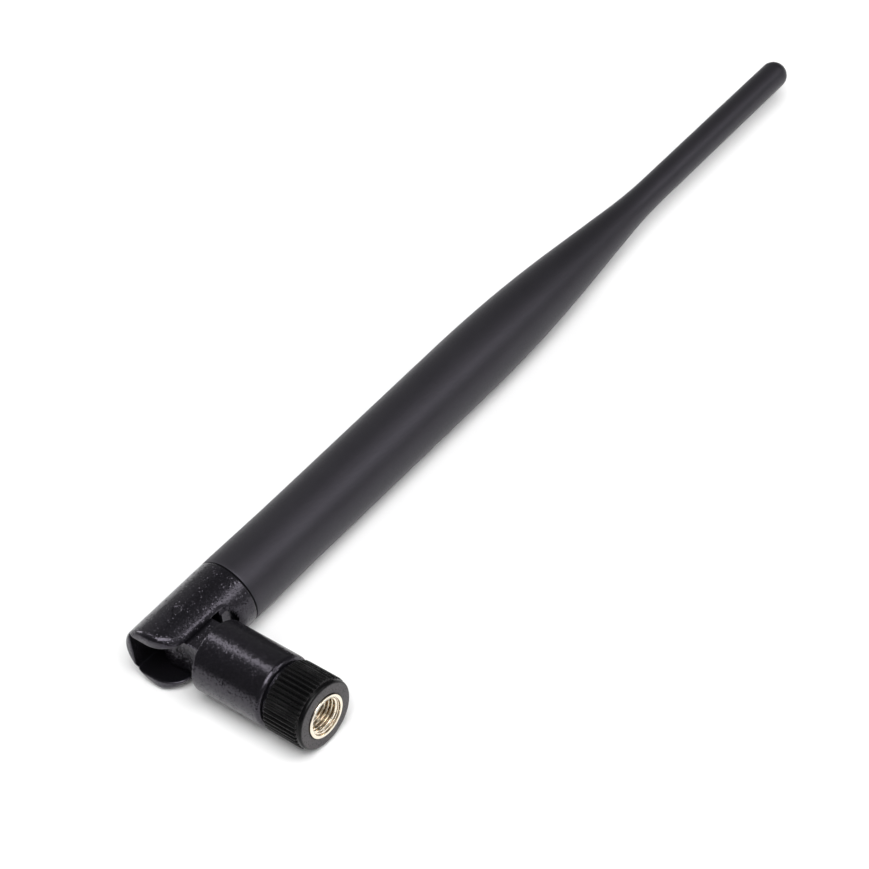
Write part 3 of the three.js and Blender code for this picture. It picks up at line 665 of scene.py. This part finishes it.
class Surface:
    """A Principled material and short ways to wire procedural detail into it, in millimetres."""

    def __init__(self, name, colour, roughness, metallic=0.0, **sockets):
        self.material = bpy.data.materials.new(name)
        materials[name] = self.material
        self.material.use_nodes = True
        self.tree = self.material.node_tree
        self.shader = self.tree.nodes["Principled BSDF"]
        self.shader.inputs["Base Color"].default_value = (*colour, 1)
        self.shader.inputs["Roughness"].default_value = roughness
        self.shader.inputs["Metallic"].default_value = metallic
        for socket, value in sockets.items():
            self.shader.inputs[socket.replace("_", " ")].default_value = value
        coordinates = self.node("ShaderNodeTexCoord")
        scale = self.node("ShaderNodeVectorMath", operation="SCALE")
        scale.inputs["Scale"].default_value = 1 / MM
        self.link(coordinates.outputs["Object"], scale.inputs[0])
        self.place = scale.outputs[0]

    def node(self, kind, **settings):
        made = self.tree.nodes.new(kind)
        for key, value in settings.items():
            setattr(made, key, value)
        return made

    def link(self, source, target):
        self.tree.links.new(source, target)

    def noise(self, size, detail=3.0, rough=0.5, stretch=None):
        """Noise whose blobs are about size millimetres across."""
        made = self.node("ShaderNodeTexNoise")
        made.inputs["Scale"].default_value = 1 / size
        made.inputs["Detail"].default_value = detail
        made.inputs["Roughness"].default_value = rough
        place = self.place
        if stretch:
            mapping = self.node("ShaderNodeMapping")
            mapping.inputs["Scale"].default_value = stretch
            self.link(place, mapping.inputs["Vector"])
            place = mapping.outputs[0]
        self.link(place, made.inputs["Vector"])
        return made.outputs["Fac"]

    def facets(self, size, tilt, share=0.3, rest=0.15):
        """The surface's normal, leaning a random way in each cell of the grain: a share of them fully."""
        cell = self.node("ShaderNodeTexVoronoi")
        cell.inputs["Scale"].default_value = 1 / size
        self.link(self.place, cell.inputs["Vector"])
        centred = self.node("ShaderNodeVectorMath", operation="SUBTRACT")
        centred.inputs[1].default_value = (0.5, 0.5, 0.5)
        self.link(cell.outputs["Color"], centred.inputs[0])
        lean = self.node("ShaderNodeVectorMath", operation="SCALE")
        channels = self.node("ShaderNodeSeparateXYZ")
        self.link(cell.outputs["Color"], channels.inputs[0])
        amount = self.ranged(channels.outputs["Z"], 1 - share, 1 - share + 0.05, tilt * rest, tilt)
        self.link(centred.outputs[0], lean.inputs[0])
        self.link(amount, lean.inputs["Scale"])
        total = self.node("ShaderNodeVectorMath", operation="ADD")
        self.link(self.node("ShaderNodeNewGeometry").outputs["Normal"], total.inputs[0])
        self.link(lean.outputs[0], total.inputs[1])
        unit = self.node("ShaderNodeVectorMath", operation="NORMALIZE")
        self.link(total.outputs[0], unit.inputs[0])
        return unit.outputs[0]

    def ranged(self, source, low, high, to_low, to_high):
        made = self.node("ShaderNodeMapRange")
        made.inputs["From Min"].default_value = low
        made.inputs["From Max"].default_value = high
        made.inputs["To Min"].default_value = to_low
        made.inputs["To Max"].default_value = to_high
        self.link(source, made.inputs["Value"])
        return made.outputs["Result"]

    def maths(self, operation, a, b):
        made = self.node("ShaderNodeMath", operation=operation)
        for socket, value in zip(made.inputs, (a, b)):
            if isinstance(value, (int, float)):
                socket.default_value = value
            else:
                self.link(value, socket)
        return made.outputs[0]

    def colours(self, factor, *stops):
        """Base colour from a factor, through (position, colour) stops."""
        ramp = self.node("ShaderNodeValToRGB")
        elements = ramp.color_ramp.elements
        while len(elements) < len(stops):
            elements.new(0.5)
        for element, (position, colour) in zip(elements, stops):
            element.position = position
            element.color = (*colour, 1)
        self.link(factor, ramp.inputs["Fac"])
        self.link(ramp.outputs["Color"], self.shader.inputs["Base Color"])

    def roughness(self, source):
        self.link(source, self.shader.inputs["Roughness"])

    def relief(self, source, depth, start=None):
        """Bumps of a depth in millimetres, over the surface's normal or over start."""
        bump = self.node("ShaderNodeBump")
        bump.inputs["Strength"].default_value = 1.0
        bump.inputs["Distance"].default_value = depth * MM
        self.link(source, bump.inputs["Height"])
        if start is not None:
            self.link(start, bump.inputs["Normal"])
        self.link(bump.outputs["Normal"], self.shader.inputs["Normal"])

    def edges(self, low=0.5, high=0.6):
        """From 0 at a low pointiness to 1 at a high one: hollows are under 0.5 and convex edges over it."""
        geometry = self.node("ShaderNodeNewGeometry")
        return self.ranged(geometry.outputs["Pointiness"], low, high, 0.0, 1.0)


def moulded_plastic(name, dark, light, rough, grain, depth, facet, tilt):
    """Black plastic from a spark-eroded mould: fine grain and small facets that each lean their own way."""
    made = Surface(name, light, sum(rough) / 2, Specular_Tint=(1.0, 0.93, 1.1, 1))
    # Convex edges are coloured lighter: partly rub wear, partly a painted highlight on the rims.
    wear_and_rim_highlight = made.maths("MULTIPLY", made.edges(), 0.35)
    tone = made.maths("ADD", made.noise(size=7.0, detail=4), wear_and_rim_highlight)
    made.colours(tone, (0.35, dark), (0.75, light))
    made.roughness(made.ranged(made.noise(size=facet * 1.6, detail=2), 0.35, 0.65, *rough))
    made.relief(made.noise(size=grain, detail=3, rough=0.6), depth, start=made.facets(facet, tilt))


def metal(name, dark, light, rough, marks=0.12, mark_depth=0.002, stretch=(1, 0.04, 0.04)):
    """Turned or drawn metal with fine lathe marks, and painted shade with some tarnish in its grooves."""
    made = Surface(name, light, sum(rough) / 2, metallic=1.0)
    blotches = made.maths("MULTIPLY", made.noise(size=1.6, detail=5), 0.4)
    # The hollows take the dark colour: painted shade in the grooves, with some tarnish.
    tone = made.maths("ADD", blotches, made.edges(0.484, 0.504))
    made.colours(tone, (0.15, dark), (0.75, light))
    made.roughness(made.ranged(made.noise(size=0.5, detail=4), 0.3, 0.7, *rough))
    made.relief(made.noise(size=marks, detail=2, stretch=stretch), mark_depth)


def gloss_plastic(name, dark, light, face, rough, grain, depth):
    """Near-black plastic; the flat front face beyond the ribs is painted greyer: a painted reflection of the
    floor.
    """
    made = Surface(name, light, sum(rough) / 2, Specular_IOR_Level=0.14)
    split = made.node("ShaderNodeSeparateXYZ")
    made.link(made.node("ShaderNodeNewGeometry").outputs["True Normal"], split.inputs[0])
    # The face turned along +X gets the lighter colour: a painted reflection of the floor.
    flat = made.ranged(split.outputs["X"], 0.85, 1.0, 0.0, 0.6)
    blotches = made.maths("MULTIPLY", made.noise(size=2.5, detail=4), 0.4)
    tone = made.maths("ADD", blotches, flat)
    made.colours(tone, (0.1, dark), (0.3, light), (0.9, face))
    made.roughness(made.ranged(made.noise(size=grain * 3, detail=3), 0.3, 0.7, *rough))
    made.relief(made.noise(size=grain, detail=4), depth)


def soft_plastic(name, dark, light, rough, grain, depth):
    """Insulation, jacket, rubber or foam: blotchy colour and a grain of its own."""
    made = Surface(name, light, sum(rough) / 2)
    made.colours(made.noise(size=2.5, detail=4), (0.3, dark), (0.7, light))
    made.roughness(made.ranged(made.noise(size=grain * 3, detail=3), 0.3, 0.7, *rough))
    made.relief(made.noise(size=grain, detail=4), depth)


# Colours are linear, roughness is (least, most), and sizes and depths are in millimetres.
moulded_plastic(
    "grained_plastic", dark=(0.004, 0.0038, 0.0048), light=(0.0066, 0.0062, 0.0078), rough=(0.2, 0.27),
    grain=0.09, depth=0.003, facet=0.2, tilt=0.42)
moulded_plastic(
    "radome_plastic", dark=(0.0075, 0.0074, 0.0085), light=(0.0098, 0.0097, 0.011), rough=(0.44, 0.5),
    grain=0.07, depth=0.005, facet=0.2, tilt=0.06)
# The grip's face colour is a painted reflection of the floor on its flat front face.
gloss_plastic(
    "grip_plastic", dark=(0.0022, 0.0022, 0.0024), light=(0.0034, 0.0034, 0.0036), face=(0.075, 0.07, 0.073),
    rough=(0.25, 0.33), grain=0.1, depth=0.002)
# In the metals, dark is mainly the grooves' colour: painted shade with some tarnish.
metal(
    "nickel_plate", dark=(0.26, 0.17, 0.09), light=(0.92, 0.84, 0.7), rough=(0.12, 0.18), mark_depth=0.0004)
metal(
    "brass", dark=(0.55, 0.36, 0.13), light=(0.72, 0.5, 0.2), rough=(0.3, 0.45), stretch=(0.04, 1, 0.04))
metal(
    "gold_plate", dark=(0.75, 0.52, 0.18), light=(0.95, 0.72, 0.3), rough=(0.18, 0.3))
metal(
    "copper", dark=(0.55, 0.25, 0.13), light=(0.78, 0.42, 0.26), rough=(0.28, 0.42), stretch=(0.3, 1, 0.3))
metal(
    "solder", dark=(0.42, 0.42, 0.42), light=(0.62, 0.62, 0.61), rough=(0.3, 0.5),
    marks=0.5, stretch=(1, 1, 1))
metal(
    "spring_steel", dark=(0.3, 0.3, 0.31), light=(0.46, 0.46, 0.47), rough=(0.25, 0.4))
soft_plastic(
    "fluoroplastic", dark=(0.72, 0.7, 0.64), light=(0.85, 0.84, 0.79), rough=(0.4, 0.55),
    grain=0.1, depth=0.004)
soft_plastic(
    "cable_jacket", dark=(0.13, 0.085, 0.055), light=(0.2, 0.13, 0.085), rough=(0.35, 0.5),
    grain=0.12, depth=0.01)
soft_plastic(
    "silicone", dark=(0.3, 0.06, 0.03), light=(0.42, 0.09, 0.045), rough=(0.5, 0.65),
    grain=0.08, depth=0.005)
soft_plastic(
    "shrink_tube", dark=(0.008, 0.008, 0.009), light=(0.016, 0.016, 0.017), rough=(0.5, 0.7),
    grain=0.15, depth=0.02)
soft_plastic(
    "foam", dark=(0.6, 0.6, 0.57), light=(0.8, 0.8, 0.77), rough=(0.85, 1.0), grain=0.3, depth=0.15)


def finish(obj, slot, body, *nodes):
    """Gives a piece its material and its body, and hides the CAD nodes that it stands for."""
    obj.data.materials.clear()
    obj.data.materials.append(materials[slot])
    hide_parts(*nodes)
    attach(obj, body)
    return obj


# Size of the moulded pieces' mesh, and the space round them that is searched for their surface.
HOUSING_CELL = 0.13
KNUCKLE_CELL = HOUSING_CELL * 1.15
MARGIN = 0.5
SEARCH_HALF = 7


def make_knuckle():
    low = (-SEARCH_HALF, FORK_END - MARGIN, -SEARCH_HALF)
    high = (SEARCH_HALF, SPIGOT_END + MARGIN, SEARCH_HALF)
    return moulded("knuckle_body", knuckle_field, low, high, KNUCKLE_CELL)


def make_housing():
    low = (-HUB_RADIUS - MARGIN, -SEARCH_HALF, -SEARCH_HALF)
    high = (HOUSING_NECK_END + MARGIN, SEARCH_HALF, SEARCH_HALF)
    return moulded("base_shell", housing_field, low, high, HOUSING_CELL)


finish(make_radome(), "radome_plastic", "whip", "radome")
finish(make_knuckle(), "grained_plastic", "whip", "knuckle")
finish(make_housing(), "grained_plastic", "connector_base", "base_housing")
finish(make_grip(), "grip_plastic", "coupling_nut", "nut_grip")
finish(make_insert(), "nickel_plate", "coupling_nut", "nut_insert")
finish(make_plug_body(), "nickel_plate", "connector_base", "plug_body")
finish(make_dielectric(), "fluoroplastic", "connector_base", "plug_dielectric")
finish(make_gasket(), "silicone", "connector_base", "sealing_gasket")

elbow = make_elbow()
elbow.data.materials.append(materials["cable_jacket"])
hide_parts("coax_elbow")
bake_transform(elbow)

for part in frame["record"]["subparts"]:
    node = frame["nodes"][part["node"]]
    node.data.materials.clear()
    node.data.materials.append(materials[part["material_slot"]])


# ---- table, light and camera ------------------------------------------------------------------------

def make_floor():
    """The pale table top, 12 m across so that no edge shows."""
    mesh = bpy.data.meshes.new("floor")
    half = 6.0
    corners = [(-half, -half, 0), (half, -half, 0), (half, half, 0), (-half, half, 0)]
    mesh.from_pydata(corners, [], [(0, 1, 2, 3)])
    floor = bpy.data.objects.new("floor", mesh)
    bpy.context.scene.collection.objects.link(floor)
    table = Surface("floor_paint", (0.9, 0.9, 0.9), 0.6)
    table.shader.inputs["Specular IOR Level"].default_value = 0.2
    mesh.materials.append(table.material)


def softbox(name, direction, distance, width, height, power):
    """A soft area light in a direction from the middle of the antenna, facing it."""
    light = bpy.data.lights.new(name, "AREA")
    light.shape = "RECTANGLE"
    light.size = width
    light.size_y = height
    light.energy = power
    obj = bpy.data.objects.new(name, light)
    away = Vector(direction).normalized()
    obj.location = away * distance
    obj.rotation_mode = "QUATERNION"
    obj.rotation_quaternion = away.to_track_quat("Z", "Y")
    bpy.context.scene.collection.objects.link(obj)


# Brightness of the room by how far a direction points to either side: light side walls, dim in front.
ROOM = [(0.0, 0.07), (0.45, 0.08), (0.7, 0.24), (0.92, 0.4)]
BEHIND = 0.15


def make_room():
    """The studio's walls as a plain gradient, which the plastic reflects."""
    world = bpy.data.worlds.new("studio")
    world.use_nodes = True
    tree = world.node_tree
    coordinates = tree.nodes.new("ShaderNodeTexCoord")
    split = tree.nodes.new("ShaderNodeSeparateXYZ")
    aside = tree.nodes.new("ShaderNodeMath")
    aside.operation = "ABSOLUTE"
    total = tree.nodes.new("ShaderNodeMath")
    total.operation = "MULTIPLY_ADD"
    total.inputs[1].default_value = BEHIND
    ramp = tree.nodes.new("ShaderNodeValToRGB")
    elements = ramp.color_ramp.elements
    while len(elements) < len(ROOM):
        elements.new(0.5)
    for element, (place, brightness) in zip(elements, ROOM):
        element.position = place
        element.color = (brightness, brightness, brightness, 1)
    tree.links.new(coordinates.outputs["Generated"], split.inputs[0])
    tree.links.new(split.outputs["X"], aside.inputs[0])
    tree.links.new(split.outputs["Y"], total.inputs[0])
    tree.links.new(aside.outputs[0], total.inputs[2])
    tree.links.new(total.outputs[0], ramp.inputs["Fac"])
    tree.links.new(ramp.outputs["Color"], tree.nodes["Background"].inputs["Color"])
    bpy.context.scene.world = world


def make_lights():
    """Each softbox: direction from the antenna, distance, width, height (metres) and power (watts)."""
    softbox("right_softbox", (0.62, 0.47, 0.63), 1.6, 0.55, 0.55, 4.0)
    softbox("left_softbox", (-0.51, 0.06, 0.85), 1.6, 0.4, 0.5, 3.0)
    softbox("low_softbox", (-0.94, -0.06, 0.33), 1.6, 0.4, 0.4, 4.8)
    softbox("top_fill", (0.36, -0.24, 0.9), 1.8, 1.4, 1.4, 40)


FOCAL_LENGTH = 124.28
SENSOR = 36
CLIP_START = 0.01
CAMERA_TO_HINGE_PLANE = 507.75
AIM = (5.74, 57.89, 0.0)
CAMERA_AZIMUTH, CAMERA_ELEVATION, CAMERA_ROLL = 44.2, 44.4, -8.07


def make_camera():
    """The camera looks at AIM, a point given in the design frame, from an azimuth and an elevation."""
    lens = bpy.data.cameras.new("camera")
    lens.lens = FOCAL_LENGTH
    lens.sensor_width = SENSOR
    lens.clip_start = CLIP_START
    camera = bpy.data.objects.new("camera", lens)
    azimuth = math.radians(CAMERA_AZIMUTH)
    elevation = math.radians(CAMERA_ELEVATION)
    back = Vector((
        math.sin(azimuth) * math.cos(elevation),
        -math.cos(azimuth) * math.cos(elevation),
        math.sin(elevation),
    ))
    aim = Vector(AIM) * MM + HINGE
    level = back.to_track_quat("Z", "Y").to_matrix()
    roll = Matrix.Rotation(math.radians(CAMERA_ROLL), 3, "Z")
    place = Matrix.Translation(aim + back * CAMERA_TO_HINGE_PLANE * MM)
    camera.matrix_world = place @ (level @ roll).to_4x4()
    bpy.context.scene.collection.objects.link(camera)
    bpy.context.scene.camera = camera


make_floor()
make_room()
make_lights()
make_camera()
bpy.context.scene.view_settings.view_transform = "Standard"
